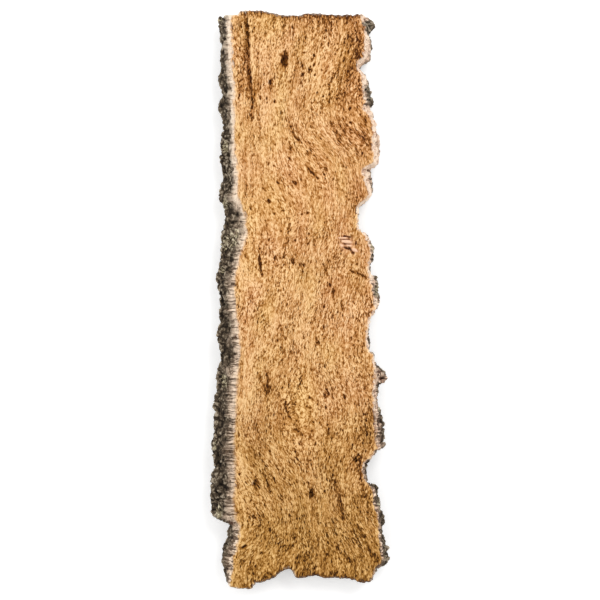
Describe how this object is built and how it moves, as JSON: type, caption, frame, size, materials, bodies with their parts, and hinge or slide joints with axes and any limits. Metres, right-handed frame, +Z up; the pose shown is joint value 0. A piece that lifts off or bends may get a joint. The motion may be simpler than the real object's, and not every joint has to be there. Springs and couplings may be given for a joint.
{
  "type": "cork bark slab",
  "caption": "Long concave slab of virgin cork oak bark with a smooth inner face, torn pale rims and a deeply fissured crust, lying on its crust.",
  "frame": {"origin": "on the plane that the slab rests on, under the middle of its box", "axes": "+Y along the grain, the slab's long way; +X across it; +Z up, out of the hollow inner face"},
  "size_m": [0.1934, 0.6224, 0.0523],
  "materials": {
    "cork_bark": "dry, matt raw cork: golden tan on the inner face, pale pink on the torn rims, grey-brown on the fissured crust"
  },
  "bodies": {
    "root": {"bark": "cork_bark"}
  },
  "joints": []
}
